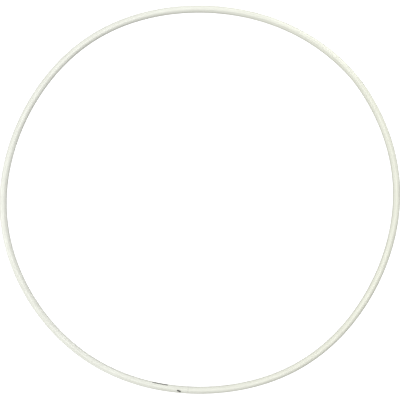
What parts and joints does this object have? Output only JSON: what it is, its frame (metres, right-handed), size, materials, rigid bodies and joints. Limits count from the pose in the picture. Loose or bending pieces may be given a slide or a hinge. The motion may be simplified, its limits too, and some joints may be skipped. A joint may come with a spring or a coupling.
{
  "type": "rhythmic gymnastics hoop",
  "caption": "Large thin off-white plastic hoop, one bent round tube closed on an inner plug with staples.",
  "frame": {"origin": "on the surface that the hoop lies on, below the middle of its outline", "axes": "+Z is the hoop's axis, up when it lies flat; +X is along its longer diameter; the joint is near -Y"},
  "size_m": [0.8924, 0.865, 0.0169],
  "materials": {
    "tube_plastic": "off-white extruded polyethylene, soft gloss",
    "plug_plastic": "natural polyethylene, unpolished",
    "staple_wire": "blackened flat steel wire",
    "strip_film": "plain dark grey vinyl film"
  },
  "bodies": {
    "root": {"hoop_tube": "tube_plastic", "joint_plug": "plug_plastic", "upper_staple": "staple_wire", "lower_staple": "staple_wire", "marking_strip": "strip_film"}
  },
  "joints": []
}
